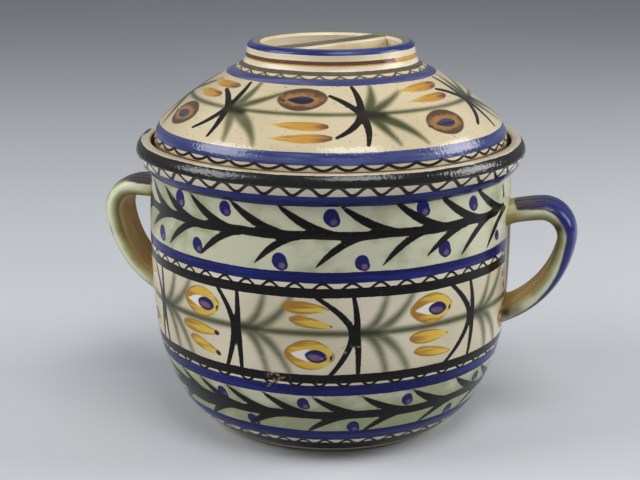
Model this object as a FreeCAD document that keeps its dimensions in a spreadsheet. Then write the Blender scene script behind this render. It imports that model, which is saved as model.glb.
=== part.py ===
import FreeCAD, Part
import math
import os
import re

import Sketcher
from FreeCAD import Placement, Rotation, Vector

# A lidded earthenware pot with two strap handles.
# Millimetres. The origin is the middle of the foot, +Z is up and the handles stand out along X.

# Driving sizes: cell name, size, what it measures.
SIZES = [
    ("pot_height", 188.0, "foot to the flat top of the rim"),
    ("rim_radius", 125.0, "axis to the widest part of the rolled rim"),
    ("rim_slope", 3.6, "how far the rim draws in from its widest part to its top"),
    ("rim_width", 5.6, "flat top of the rim, from its outer edge to the gallery wall"),
    ("rim_edge", 0.8, "softened edge between the rim top and the gallery wall"),
    ("rim_overhang", 8.5, "how far the widest part of the rim stands out from the neck"),
    ("roll_height", 7.4, "rim top down to the widest part of the roll"),
    ("roll_depth", 20.0, "rim top down to the neck under the roll"),
    ("roll_swell", 1.0, "roundness of the roll above and below its widest part"),
    ("wall_swell", 1.5, "roundness of the wall between belly and neck"),
    ("belly_tuck", 0.7, "how far the belly lies inside the neck"),
    ("belly_rise", 75.0, "foot to the belly, where the wall starts to draw in"),
    ("heel_tuck", 12.8, "how far the heel lies inside the belly"),
    ("heel_rise", 28.6, "foot to the heel"),
    ("heel_lean", 62.0, "slope of the wall at the heel, in degrees"),
    ("heel_spread", 28.8, "how far the heel stands out from the foot"),
    ("foot_width", 11.0, "flat ring that the pot stands on"),
    ("foot_recess", 3.0, "depth turned out inside the foot ring"),
    ("recess_slope", 1.5, "slanted side of that recess"),
    ("wall_thickness", 8.0, "thickness of the thrown wall"),
    ("floor_thickness", 9.0, "thickness of the floor"),
    ("floor_spread", 8.0, "how far the flat inside floor stops short of the foot's edge"),
    ("gallery_depth", 10.0, "rim top down to the ledge that carries the lid"),
    ("ledge_width", 11.0, "width of that ledge"),
    ("ledge_lip", 3.5, "upright inner edge of the ledge"),
    ("ledge_slope", 10.5, "height of the slope from the ledge back to the wall"),
    ("lid_clearance", 2.6, "room between the lid and the gallery wall"),
    ("seat_width", 9.0, "ring on which the lid sits"),
    ("seat_edge", 1.2, "softened outer edge of that ring"),
    ("lid_edge", 10.0, "upright edge of the lid"),
    ("lid_wall", 7.0, "thickness of the lid"),
    ("shoulder_rise", 20.4, "seat up to the shoulder of the lid"),
    ("shoulder_inset", 2.3, "how far the shoulder lies inside the lid's edge"),
    ("shoulder_swell", 0.5, "roundness between edge and shoulder"),
    ("cone_swell", 2.4, "roundness of the lid's cone"),
    ("crown_rise", 57.2, "seat up to the crown that carries the collar"),
    ("crown_radius", 57.2, "outer edge of the crown"),
    ("collar_seat", 11.7, "width of the crown under the collar"),
    ("collar_height", 13.8, "height of the collar"),
    ("collar_waist", 2.8, "how far the collar draws in above its foot"),
    ("waist_rise", 6.0, "foot of the collar up to that waist"),
    ("waist_hollow", 0.6, "hollow curve below the waist"),
    ("lip_inset", 4.0, "how far the collar's lip lies inside its foot"),
    ("lip_drop", 2.4, "rounded lip, from its crest down to its sides"),
    ("lip_swell", 0.9, "roundness of the lip"),
    ("mouth_lean", 1.8, "how far the collar's mouth is narrower than the well"),
    ("well_depth", 16.0, "crown down to the floor of the well"),
    ("well_floor", 24.0, "radius of the flat floor of the well"),
    ("strap_width", 16.0, "width of the grip strap"),
    ("strap_thickness", 8.0, "grip strap at the middle"),
    ("strap_root", 12.4, "grip strap where it meets the collar"),
    ("strap_sink", 0.7, "collar crest down to the top of the grip strap"),
    ("strap_edge", 2.6, "rounded long edges of the grip strap"),
    ("strap_turn", 60.25, "turn of the grip strap from the line of the handles, in degrees"),
    ("handle_drop", 57.4, "rim top down to the middle of the right handle's loop"),
    ("left_drop", 1.6, "how much lower the left handle sits"),
    ("handle_back", 3.25, "how far round to the back each handle was luted, in degrees"),
    ("handle_standoff", 20.6, "belly out to the middle of the loop"),
    ("loop_radius", 16.6, "round top of the loop, along the middle of the strap"),
    ("handle_root", 5.8, "depth inside the wall's face where the strap's line starts and ends"),
    ("handle_start", 17.2, "height of the strap's start above the middle of the loop"),
    ("tail_radius", 62.0, "curve of the lower run"),
    ("tail_drop", 54.0, "middle of the loop down to the strap's lower end"),
    ("handle_width", 32.0, "width of the strap"),
    ("handle_thickness", 11.2, "thickness of the strap at its edges"),
    ("handle_edge", 5.0, "round edge of the strap"),
    ("handle_crown", 0.9, "rise of the strap's outer face towards its middle"),
    ("handle_strip", 0.5, "swell of each of the three strips that pulling leaves on the outer face"),
    ("handle_hollow", 0.5, "hollow of the strap's inner face towards its middle"),
    ("handle_flute", 0.6, "depth of each of the three finger flutes along the inner face"),
    ("root_spread", 1.03, "how many times larger the strap is at its upper end than over the loop"),
    ("tail_spread", 1.02, "the same at its lower end"),
]

doc = FreeCAD.newDocument("lidded_pot")
sheet = doc.addObject("Spreadsheet::Sheet", "sizes")
for row, (alias, size, meaning) in enumerate(SIZES, start=1):
    sheet.set("A%d" % row, meaning)
    sheet.set("B%d" % row, str(size))
    sheet.setAlias("B%d" % row, alias)
doc.recompute()

ALIASES = re.compile(r"\b(%s)\b" % "|".join(alias for alias, size, meaning in SIZES))


def bound(formula):
    """The formula with every size written as a cell of the sheet."""
    return ALIASES.sub(r"sizes.\1", formula)


def value(formula):
    """The formula's present value."""
    return float(sheet.evalExpression(formula))


# Sizes that several pieces share.
NECK = "rim_radius - rim_overhang"
BELLY = "rim_radius - rim_overhang - belly_tuck"
HEEL = "rim_radius - rim_overhang - belly_tuck - heel_tuck"
FOOT = "rim_radius - rim_overhang - belly_tuck - heel_tuck - heel_spread"
RIM_TOP = "rim_radius - rim_slope"
GALLERY = "rim_radius - rim_slope - rim_width"
LEDGE_RISE = "pot_height - gallery_depth"
LID = "rim_radius - rim_slope - rim_width - lid_clearance"
WELL = "crown_radius - collar_seat"
MOUTH = "crown_radius - collar_seat - mouth_lean"
LIP_CREST = "crown_rise + collar_height"
LIP_SIDE = "crown_rise + collar_height - lip_drop"
LIP_MIDDLE = "crown_radius - (lip_inset + collar_seat + mouth_lean) / 2"

# How an outline runs on from a corner: straight, as an arc that swells to its right or left by
# the size given, or as an arc that eases into the next run or out of the last one.
LINE = ("line", "0")
EASE_NEXT = ("ease_next", "0")
EASE_LAST = ("ease_last", "0")


def right(swell):
    return ("right", swell)


def left(swell):
    return ("left", swell)


def headings(points, runs):
    """Heading of every run of a closed outline at its start and at its end."""
    count = len(runs)
    found = [None] * count
    chords = []
    for index, (kind, swell) in enumerate(runs):
        step = points[(index + 1) % count] - points[index]
        chord = math.atan2(step.y, step.x)
        chords.append(chord)
        turn = 2 * math.atan(2 * value(swell) / step.Length)
        if kind == "line":
            found[index] = (chord, chord)
        if kind == "right":
            found[index] = (chord - turn, chord + turn)
        if kind == "left":
            found[index] = (chord + turn, chord - turn)
    while None in found:
        for index, (kind, swell) in enumerate(runs):
            following = found[(index + 1) % count]
            if kind == "ease_next" and following:
                found[index] = (2 * chords[index] - following[0], following[0])
            if kind == "ease_last" and found[index - 1]:
                found[index] = (found[index - 1][1], 2 * chords[index] - found[index - 1][1])
    return found


def arc_between(start, end, heading):
    """Arc that leaves start on the heading and reaches end, and whether it turns left."""
    chord = end - start
    turn = math.remainder(math.atan2(chord.y, chord.x) - heading, 2 * math.pi)
    radius = chord.Length / (2 * math.sin(turn))
    centre = start + radius * Vector(-math.sin(heading), math.cos(heading), 0)
    ends = (start, end) if turn > 0 else (end, start)
    angles = [math.atan2(point.y - centre.y, point.x - centre.x) for point in ends]
    circle = Part.Circle(centre, Vector(0, 0, 1), abs(radius))
    return Part.ArcOfCircle(circle, angles[0], angles[1]), turn > 0


def place(sketch, geometry, spot, x, y):
    """Hold one point of the sketch at x and y."""
    for kind, axis, formula in (("DistanceX", -2, x), ("DistanceY", -1, y)):
        if formula == "0":
            sketch.addConstraint(Sketcher.Constraint("PointOnObject", geometry, spot, axis))
        else:
            made = Sketcher.Constraint(kind, -1, 1, geometry, spot, value(formula))
            number = sketch.addConstraint(made)
            sketch.setExpression("Constraints[%d]" % number, bound(formula))


def hold_radius(sketch, geometry, formula):
    number = sketch.addConstraint(Sketcher.Constraint("Radius", geometry, value(formula)))
    sketch.setExpression("Constraints[%d]" % number, bound(formula))


def draw_outline(sketch, corners):
    """Closed outline through corners (x, y, run), every corner and arc bound to the sheet."""
    count = len(corners)
    points = [Vector(value(x), value(y), 0) for x, y, run in corners]
    runs = [run for x, y, run in corners]
    aims = headings(points, runs)
    drawn = []
    for index, (kind, swell) in enumerate(runs):
        start, end = points[index], points[(index + 1) % count]
        if kind == "line":
            number = sketch.addGeometry(Part.LineSegment(start, end))
            drawn.append((number, 1, 2))
        else:
            arc, turns_left = arc_between(start, end, aims[index][0])
            number = sketch.addGeometry(arc)
            drawn.append((number, 1, 2) if turns_left else (number, 2, 1))
    for index, (x, y, (kind, swell)) in enumerate(corners):
        number, first, last = drawn[index]
        before, before_first, before_last = drawn[index - 1]
        eased = kind == "ease_last" or runs[index - 1][0] == "ease_next"
        joint = "Tangent" if eased else "Coincident"
        sketch.addConstraint(Sketcher.Constraint(joint, before, before_last, number, first))
        place(sketch, number, first, x, y)
        if kind in ("right", "left"):
            next_x, next_y, next_run = corners[(index + 1) % count]
            chord = "((%s) - (%s))^2 + ((%s) - (%s))^2" % (next_x, x, next_y, y)
            hold_radius(sketch, number, "(%s) / (8 * (%s)) + (%s) / 2" % (chord, swell, swell))


def plane_of(body, role):
    return next(plane for plane in body.Origin.OriginFeatures if plane.Role == role)


def new_sketch(body, name, role):
    sketch = body.newObject("Sketcher::SketchObject", name)
    sketch.AttachmentSupport = (plane_of(body, role), [""])
    sketch.MapMode = "FlatFace"
    return sketch


def new_body(label):
    body = doc.addObject("PartDesign::Body", label)
    body.Label = label
    return body


def turned(body, kind, name, corners):
    """Full turn of an outline about the upright axis, added to the body or cut from it."""
    sketch = new_sketch(body, name + "_outline", "XZ_Plane")
    draw_outline(sketch, corners)
    feature = body.newObject("PartDesign::" + kind, name)
    feature.Profile = sketch
    feature.ReferenceAxis = (sketch, ["V_Axis"])
    feature.Angle = 360
    sketch.Visibility = False
    doc.recompute()
    return feature


def seat_on_gallery(body):
    """The lid's pieces are drawn from their seat, which rests on the gallery ledge."""
    body.setExpression("Placement.Base.z", bound(LEDGE_RISE))


# Outside of the pot from the edge of its foot to its neck. The handles are cut to the same face.
OUTSIDE = [
    (FOOT, "0", EASE_NEXT),
    (HEEL, "heel_rise", EASE_NEXT),
    (BELLY, "belly_rise", right("wall_swell")),
]


def make_pot_body():
    body = new_body("pot_body")
    foot_inside = FOOT + " - foot_width"
    under_ledge = LEDGE_RISE + " - ledge_lip - ledge_slope"
    floor_rise = "foot_recess + floor_thickness"
    corners = [
        ("0", "foot_recess", LINE),
        (foot_inside + " - recess_slope", "foot_recess", LINE),
        (foot_inside, "0", LINE),
    ]
    corners += OUTSIDE
    corners += [
        (NECK, "pot_height - roll_depth", right("roll_swell")),
        ("rim_radius", "pot_height - roll_height", right("roll_swell")),
        (RIM_TOP, "pot_height", LINE),
        (GALLERY + " + rim_edge", "pot_height", LINE),
        (GALLERY, "pot_height - rim_edge", LINE),
        (GALLERY, LEDGE_RISE, LINE),
        (GALLERY + " - ledge_width", LEDGE_RISE, LINE),
        (GALLERY + " - ledge_width", LEDGE_RISE + " - ledge_lip", LINE),
        (NECK + " - wall_thickness", under_ledge, left("wall_swell")),
        (BELLY + " - wall_thickness", "belly_rise", EASE_LAST),
        (HEEL + " - wall_thickness * sin(heel_lean)",
         "heel_rise + wall_thickness * cos(heel_lean)", EASE_LAST),
        (FOOT + " - floor_spread", floor_rise, LINE),
        ("0", floor_rise, LINE),
    ]
    turned(body, "Revolution", "thrown_pot", corners)
    return body


def make_lid_shell():
    body = new_body("lid_shell")
    shoulder = LID + " - shoulder_inset"
    fall = "(crown_rise - shoulder_rise) / (%s - crown_radius)" % shoulder
    seat_inside = LID + " - seat_width"
    valley = WELL + " + lid_wall + lid_wall / 2"
    upright = "lid_wall * sqrt(1 + (%s)^2)" % fall
    corners = [
        ("0", "crown_rise - well_depth - lid_wall", LINE),
        ("well_floor", "crown_rise - well_depth - lid_wall", EASE_LAST),
        (WELL + " + lid_wall", "crown_rise - lid_wall - lid_wall / 2", LINE),
        (valley, "crown_rise + (crown_radius - (%s)) * %s - %s" % (valley, fall, upright),
         left("cone_swell")),
        (seat_inside, "shoulder_rise + (%s - (%s)) * %s - %s" % (shoulder, seat_inside, fall, upright),
         LINE),
        (seat_inside, "0", LINE),
        (LID + " - seat_edge", "0", LINE),
        (LID, "seat_edge", LINE),
        (LID, "lid_edge", right("shoulder_swell")),
        (shoulder, "shoulder_rise", right("cone_swell")),
        ("crown_radius", "crown_rise", LINE),
        (WELL, "crown_rise", EASE_NEXT),
        ("well_floor", "crown_rise - well_depth", LINE),
        ("0", "crown_rise - well_depth", LINE),
    ]
    turned(body, "Revolution", "thrown_lid", corners)
    seat_on_gallery(body)
    return body


# Inside of the collar from its foot to its crest. The grip strap is cut to the same face.
COLLAR_INSIDE = [
    (MOUTH, LIP_SIDE),
    (WELL, "crown_rise"),
]


def make_lid_collar():
    body = new_body("lid_collar")
    mouth, foot = COLLAR_INSIDE
    corners = [
        foot + (LINE,),
        ("crown_radius", "crown_rise", left("waist_hollow")),
        ("crown_radius - collar_waist", "crown_rise + waist_rise", LINE),
        ("crown_radius - lip_inset", LIP_SIDE, right("lip_swell")),
        (LIP_MIDDLE, LIP_CREST, right("lip_swell")),
        mouth + (LINE,),
    ]
    turned(body, "Revolution", "thrown_collar", corners)
    seat_on_gallery(body)
    return body


def make_lid_grip_strap():
    body = new_body("lid_grip_strap")
    top = LIP_CREST + " - strap_sink"
    reach = "crown_radius"
    side = new_sketch(body, "strap_side", "XZ_Plane")
    draw_outline(side, [
        ("-" + reach, top + " - strap_root", left("strap_root - strap_thickness")),
        (reach, top + " - strap_root", LINE),
        (reach, top, LINE),
        ("-" + reach, top, LINE),
    ])
    bar = body.newObject("PartDesign::Pad", "strap_bar")
    bar.Profile = side
    bar.Midplane = True
    bar.setExpression("Length", bound("strap_width"))
    side.Visibility = False
    doc.recompute()

    rounded = body.newObject("PartDesign::Fillet", "strap_rounded")
    rounded.Base = (bar, long_edges(bar.Shape))
    rounded.setExpression("Radius", bound("strap_edge"))
    doc.recompute()

    mouth, foot = COLLAR_INSIDE
    beyond = "2 * crown_radius"
    turned(body, "Groove", "strap_ends", [
        foot + (LINE,),
        (beyond, "crown_rise", LINE),
        (beyond, LIP_CREST, LINE),
        (LIP_MIDDLE, LIP_CREST, right("lip_swell")),
        mouth + (LINE,),
    ])
    body.Placement = Placement(Vector(0, 0, value(LEDGE_RISE)),
                               Rotation(Vector(0, 0, 1), value("strap_turn")))
    body.setExpression("Placement.Rotation.Angle", bound("strap_turn"))
    seat_on_gallery(body)
    return body


def long_edges(shape):
    """Names of the edges that run the length of the bar on its two sides."""
    half_length = shape.BoundBox.XLength / 2
    names = []
    for number, edge in enumerate(shape.Edges, start=1):
        if edge.BoundBox.XLength > half_length and edge.BoundBox.YLength < 0.001:
            names.append("Edge%d" % number)
    return names


def make_handle(label, height, turn):
    """A strap bent over a round loop with a long curved tail, cut to the pot's face."""
    body = new_body(label)
    start_x = BELLY + " - handle_root"
    loop_x = BELLY + " + handle_standoff"
    start_z = height + " + handle_start"
    end_z = height + " - tail_drop"

    path = new_sketch(body, label + "_path", "XZ_Plane")
    draw_handle_path(path, (start_x, start_z), (loop_x, height), (start_x, end_z))

    rise = ("atan2(-handle_start; handle_standoff + handle_root)"
            " + asin(loop_radius / sqrt(handle_start^2 + (handle_standoff + handle_root)^2))")
    strap = body.newObject("PartDesign::AdditivePipe", label + "_strap")
    strap.Profile = upper_section(body, label + "_upper_root", start_x, start_z, rise)
    strap.Sections = [run_section(body, label + "_middle", path, "Edge2", 0.5, "1"),
                      run_section(body, label + "_lower_root", path, "Edge3", 0, "tail_spread")]
    strap.Transformation = "Multisection"
    strap.Spine = (path, ["Edge1", "Edge2", "Edge3"])
    doc.recompute()
    path.Visibility = False

    outside = [("0", "0", LINE)] + OUTSIDE
    outside += [(NECK, "pot_height - roll_depth", LINE), ("0", "pot_height - roll_depth", LINE)]
    turned(body, "Groove", label + "_root", outside)
    body.Placement = Placement(Vector(0, 0, 0), Rotation(Vector(0, 0, 1), value(turn)))
    body.setExpression("Placement.Rotation.Angle", bound(turn))
    return body


def draw_strap(sketch, times, quarter_turn):
    """The strap's section: rounded edges, three strips outside and three flutes inside.

    A quarter turn points its outside along the sketch's X axis.
    """
    flat = "(handle_width / 2 - handle_edge)"
    flute, edge, strip = left("handle_flute"), right("handle_edge"), right("handle_strip")
    corners = [
        ("-" + flat, "-handle_thickness / 2", flute),
        ("-" + flat + " / 3", "handle_hollow - handle_thickness / 2", flute),
        (flat + " / 3", "handle_hollow - handle_thickness / 2", flute),
        (flat, "-handle_thickness / 2", edge),
        (flat, "handle_thickness / 2", strip),
        (flat + " / 3", "handle_thickness / 2 + handle_crown", strip),
        ("-" + flat + " / 3", "handle_thickness / 2 + handle_crown", strip),
        ("-" + flat, "handle_thickness / 2", edge),
    ]
    outline = []
    for across, outward, (kind, swell) in corners:
        across, outward, swell = ("(%s) * %s" % (size, times) for size in (across, outward, swell))
        spot = (outward, "-" + across) if quarter_turn else (across, outward)
        outline.append(spot + ((kind, swell),))
    draw_outline(sketch, outline)
    sketch.Visibility = False


def upper_section(body, name, x, z, rise):
    """Section square to the straight start of the strap, spread as the soft clay was pressed on."""
    sketch = new_sketch(body, name, "YZ_Plane")
    sketch.AttachmentOffset = Placement(Vector(0, value(z), value(x)),
                                        Rotation(Vector(-1, 0, 0), value(rise)))
    sketch.setExpression("AttachmentOffset.Base.y", bound(z))
    sketch.setExpression("AttachmentOffset.Base.z", bound(x))
    sketch.setExpression("AttachmentOffset.Rotation.Angle", bound(rise))
    draw_strap(sketch, "root_spread", False)
    return sketch


def run_section(body, name, path, run, share, times):
    """Section square to a curved run of the path, a share of the way along it."""
    sketch = body.newObject("Sketcher::SketchObject", name)
    sketch.AttachmentSupport = (path, [run])
    sketch.MapMode = "FrenetNB"
    sketch.MapPathParameter = share
    draw_strap(sketch, times, True)
    return sketch


def draw_handle_path(sketch, start, loop, end):
    """Straight start, round loop and curved tail, each running smoothly into the next."""
    first = Vector(value(start[0]), value(start[1]), 0)
    centre = Vector(value(loop[0]), value(loop[1]), 0)
    last = Vector(value(end[0]), value(end[1]), 0)
    radius = value("loop_radius")
    tail = value("tail_radius")

    # The straight start touches the loop from above.
    gap = centre - first
    rise = math.atan2(gap.y, gap.x) + math.asin(radius / gap.Length)
    top = centre + radius * Vector(-math.sin(rise), math.cos(rise), 0)

    # The tail's circle holds the loop's circle inside it and passes through the strap's end.
    drop = last - centre
    along = ((tail - radius) ** 2 - tail ** 2 + drop.Length ** 2) / (2 * drop.Length)
    aside = math.sqrt((tail - radius) ** 2 - along ** 2)
    ahead = drop / drop.Length
    tail_centre = centre + along * ahead + aside * Vector(ahead.y, -ahead.x, 0)
    bottom = centre + radius * (centre - tail_centre) / (tail - radius)

    upright = Vector(0, 0, 1)
    line = sketch.addGeometry(Part.LineSegment(first, top))
    round_top = Part.ArcOfCircle(Part.Circle(centre, upright, radius),
                                 bearing(centre, bottom), bearing(centre, top))
    arc = sketch.addGeometry(round_top)
    lower_run = Part.ArcOfCircle(Part.Circle(tail_centre, upright, tail),
                                 bearing(tail_centre, last), bearing(tail_centre, bottom))
    run = sketch.addGeometry(lower_run)
    sketch.addConstraint(Sketcher.Constraint("Tangent", line, 2, arc, 2))
    sketch.addConstraint(Sketcher.Constraint("Tangent", arc, 1, run, 2))
    place(sketch, line, 1, *start)
    place(sketch, arc, 3, *loop)
    place(sketch, run, 1, *end)
    hold_radius(sketch, arc, "loop_radius")
    hold_radius(sketch, run, "tail_radius")


def bearing(centre, point):
    return math.atan2(point.y - centre.y, point.x - centre.x)


pieces = [
    make_pot_body(),
    make_handle("right_handle", "pot_height - handle_drop", "handle_back"),
    make_handle("left_handle", "pot_height - handle_drop - left_drop", "180 - handle_back"),
    make_lid_shell(),
    make_lid_collar(),
    make_lid_grip_strap(),
]
doc.recompute()

for thing in doc.Objects:
    if "Invalid" in thing.State or "Error" in thing.State:
        raise RuntimeError("%s did not build: %s" % (thing.Label, thing.State))
for piece in pieces:
    if piece.Shape.isNull() or not piece.Shape.isValid():
        raise RuntimeError("%s has no valid shape" % piece.Label)

os.makedirs("parts", exist_ok=True)
for piece in pieces:
    piece.Shape.exportStep("parts/%s.step" % piece.Label)
    box = piece.Shape.optimalBoundingBox()
    print("%-15s solids %d, volume %8.0f mm3, x %7.1f %6.1f, y %7.1f %6.1f, z %6.1f %6.1f" % (
        piece.Label, len(piece.Shape.Solids), piece.Shape.Volume,
        box.XMin, box.XMax, box.YMin, box.YMax, box.ZMin, box.ZMax))
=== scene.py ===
import math
import random

import bpy
import numpy as np
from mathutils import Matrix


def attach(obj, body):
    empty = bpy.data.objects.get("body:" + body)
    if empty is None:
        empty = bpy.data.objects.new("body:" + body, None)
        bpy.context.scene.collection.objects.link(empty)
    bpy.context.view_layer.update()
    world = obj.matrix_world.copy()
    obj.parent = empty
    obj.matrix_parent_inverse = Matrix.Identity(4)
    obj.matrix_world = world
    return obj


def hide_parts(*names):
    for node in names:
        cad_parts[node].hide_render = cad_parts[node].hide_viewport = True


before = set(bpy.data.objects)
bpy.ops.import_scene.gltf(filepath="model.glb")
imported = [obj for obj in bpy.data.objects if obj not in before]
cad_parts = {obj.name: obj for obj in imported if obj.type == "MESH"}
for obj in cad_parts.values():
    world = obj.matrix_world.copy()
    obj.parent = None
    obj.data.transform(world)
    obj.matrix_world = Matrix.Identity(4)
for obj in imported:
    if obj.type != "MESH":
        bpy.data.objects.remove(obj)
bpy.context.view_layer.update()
print("frame loaded, nodes:", ", ".join(sorted(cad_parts)))

mm = 0.001
dice = random.Random(41)
photoFront = -74.75  # degrees round the pot at which the photo looks at it
mergeWithin = 0.02  # millimetres; points nearer than this become one


# Modelling helpers: outlines are drawn with an extruded point and turned, in millimetres

def deselectAll():
    bpy.ops.object.select_all(action="DESELECT")


def editMode(action="SELECT"):
    bpy.ops.object.mode_set(mode="EDIT")
    bpy.ops.mesh.select_all(action=action)


def objectMode():
    bpy.ops.object.mode_set(mode="OBJECT")


def turnRound(degrees):
    # with no window the operator turns the other way
    bpy.ops.transform.rotate(value=math.radians(-degrees), orient_axis="Z", center_override=(0, 0, 0))


def runPoints(start, end, swell, steps):
    # points from start to end on an arc that stands out to the right of the line by swell
    (r0, z0), (r1, z1) = start, end
    half = math.hypot(r1 - r0, z1 - z0) / 2
    ur, uz = (r1 - r0) / (2 * half), (z1 - z0) / (2 * half)
    turn = 2 * math.atan(swell / half)
    points = []
    for step in range(1, steps + 1):
        along = 2 * half * step / steps
        aside = 0.0
        if swell:
            angle = turn * (2 * step / steps - 1)
            radius = half / math.sin(turn)
            along = half + radius * math.sin(angle)
            aside = radius * (math.cos(angle) - math.cos(turn))
        points.append((r0 + ur * along + uz * aside, z0 + uz * along - ur * aside))
    return points


def drawOutline(outline):
    # an outline is a first corner, then (radius, height, swell, rows) for each run
    points = [outline[0][:2]]
    for radius, height, swell, rows in outline[1:]:
        points += runPoints(points[-1], (radius, height), swell, rows)
    return points


def extrudeOutline(name, points):
    deselectAll()
    r, z = points[0]
    bpy.ops.mesh.primitive_plane_add(size=mm, location=(r * mm, 0, z * mm))
    piece = bpy.context.object
    piece.name = piece.data.name = name
    bpy.ops.object.transform_apply(location=True, rotation=True, scale=True)
    editMode()
    bpy.ops.mesh.merge(type="CENTER")
    for (r0, z0), (r1, z1) in zip(points, points[1:]):
        step = ((r1 - r0) * mm, 0, (z1 - z0) * mm)
        bpy.ops.mesh.extrude_region_move(TRANSFORM_OT_translate={"value": step})
    objectMode()
    return piece


def throwOutline(piece, segments):
    # the wheel: a full turn of the outline, closed at the seam and at the poles
    bpy.ops.object.modifier_add(type="SCREW")
    wheel = piece.modifiers[-1]
    wheel.axis = "Z"
    wheel.angle = 2 * math.pi
    wheel.steps = wheel.render_steps = segments
    bpy.ops.object.modifier_apply(modifier=wheel.name)
    editMode()
    bpy.ops.mesh.remove_doubles(threshold=mergeWithin * mm)
    bpy.ops.mesh.normals_make_consistent(inside=False)
    objectMode()


def handPressed(piece, amount, width, pressed):
    # thrown clay is never quite round: the chosen points sink a little, and none stands out
    group = piece.vertex_groups.new(name="pressed")
    group.add([v.index for v in piece.data.vertices if pressed(v.co)], 1.0, "REPLACE")
    clouds = bpy.data.textures.new(piece.name + "Clouds", "CLOUDS")
    clouds.noise_scale = width * mm
    clouds.noise_depth = 1
    bpy.ops.object.modifier_add(type="DISPLACE")
    press = piece.modifiers[-1]
    press.texture = clouds
    press.texture_coords = "LOCAL"
    press.vertex_group = group.name
    press.mid_level = 1.0
    press.strength = amount * mm
    bpy.ops.object.modifier_apply(modifier=press.name)
    piece.vertex_groups.clear()


def smoothShading(angle):
    bpy.ops.object.shade_smooth_by_angle(angle=math.radians(angle))


def throwPiece(name, sizes, pressed):
    piece = extrudeOutline(name, drawOutline(sizes["outline"]))
    throwOutline(piece, sizes["segments"])
    handPressed(piece, *sizes["dents"], pressed)
    smoothShading(sizes["crease"])
    return piece


def assignFinish(piece, finishes):
    # finishes: a material and where a face's middle has to lie for it, later ones on top
    middles = np.empty(len(piece.data.polygons) * 3, np.float32)
    piece.data.polygons.foreach_get("center", middles)
    middles = middles.reshape(-1, 3) / mm
    radius, height = np.hypot(middles[:, 0], middles[:, 1]), middles[:, 2]
    numbers = np.zeros(len(radius), np.int32)
    for number, (material, belongs) in enumerate(finishes):
        piece.data.materials.append(material)
        numbers[belongs(radius, height)] = number
    piece.data.polygons.foreach_set("material_index", numbers)


def standsFor(piece, node, body):
    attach(piece, body)
    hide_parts(node)
    print("%s: %d faces" % (piece.name, len(piece.data.polygons)))


# Painting helpers: motifs are laid on the unrolled surface, as degrees from the front and height

farOff = 50.0  # millimetres; a gap this wide stands for no paint near by
shadedWithin = 3.0  # millimetres round a dab that take on its shading
strokeReach, dabReach, dropReach = 34.0, 24.0, 30.0  # degrees to each side that a motif may cover
ringSteps = 60  # strokes in a line that runs all round
layerRests = {  # the layers of paint, each with its value where there is none
    **dict.fromkeys(("inkGap", "blueGap", "violetGap", "ochreGap"), farOff),
    **dict.fromkeys(("whiteGap", "tipGap", "wearGap", "patchGap"), farOff),
    **dict.fromkeys(("greenTone", "duskTone", "rustTone", "shade"), 0.0),
}
canvas = {}  # the surface being painted: its points unrolled, and the layers


def spotsOf(piece):
    spots = np.empty(len(piece.data.vertices) * 3, np.float32)
    piece.data.vertices.foreach_get("co", spots)
    return spots.reshape(-1, 3).astype(float) / mm


def unroll(piece, heightOf, painted):
    spots = spotsOf(piece)
    radius = np.hypot(spots[:, 0], spots[:, 1])
    angle = np.degrees(np.arctan2(spots[:, 1], spots[:, 0])) - photoFront
    used = painted(radius, spots[:, 2])
    canvas.update({"used": used, "angle": angle[used], "height": heightOf(spots[:, 2])[used],
                   "perDegree": np.radians(radius[used])})
    for layer, rest in layerRests.items():
        canvas[layer] = np.full(len(canvas["angle"]), rest)


def store(piece, name, values):
    layer = piece.data.attributes.new(name, "FLOAT", "POINT")
    layer.data.foreach_set("value", values.astype(np.float32))


def storeLayers(piece):
    for name, rest in layerRests.items():
        values = np.full(len(canvas["used"]), rest)
        values[canvas["used"]] = canvas[name]
        store(piece, name, values)


def wrapped(angle):
    return (angle + 180.0) % 360.0 - 180.0


def near(angle, reach):
    return np.nonzero(np.abs(wrapped(canvas["angle"] - angle)) < reach)[0]


def brush(layer, points):
    # points along a stroke are (degrees, height, half width); the layer keeps the least gap to paint
    spots = near(points[len(points) // 2][0], strokeReach)
    angle, high, per = [canvas[key][spots] for key in ("angle", "height", "perDegree")]
    best = canvas[layer][spots]
    for (a0, h0, w0), (a1, h1, w1) in zip(points, points[1:]):
        x, y = wrapped(angle - a0) * per, high - h0
        dx, dy = (a1 - a0) * per, h1 - h0
        t = np.clip((x * dx + y * dy) / (dx * dx + dy * dy + 1e-9), 0, 1)
        best = np.minimum(best, np.hypot(x - t * dx, y - t * dy) - (w0 + (w1 - w0) * t))
    canvas[layer][spots] = best


def softStroke(layer, points, soft, strength):
    canvas["softGap"] = np.full(len(canvas["angle"]), farOff)
    brush("softGap", points)
    fade = np.clip(0.5 - canvas["softGap"] / (2 * soft), 0, 1)
    canvas[layer] = np.maximum(canvas[layer], strength * fade * fade * (3 - 2 * fade))


def bowed(start, bend, end, widths, steps=10):
    # a stroke that leaves start towards bend and comes into end from it
    points = []
    for step in range(steps + 1):
        t = step / steps
        k0, k1, k2 = (1 - t) ** 2, 2 * t * (1 - t), t * t
        width = np.interp(t, np.linspace(0, 1, len(widths)), widths)
        points.append((k0 * start[0] + k1 * bend[0] + k2 * end[0],
                       k0 * start[1] + k1 * bend[1] + k2 * end[1], width))
    return points


def ringLine(height, half, wobble=0.0):
    # a line all round, as short strokes
    turn = 360.0 / ringSteps
    line = [(n * turn, height + wobble * math.sin(n), half) for n in range(ringSteps + 1)]
    return list(zip(line, line[1:]))


def backRow(row, shift=0.0):
    # places round the back, spread evenly
    first, gap, count = row
    return [first + gap * (n + shift) for n in range(count)]


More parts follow.
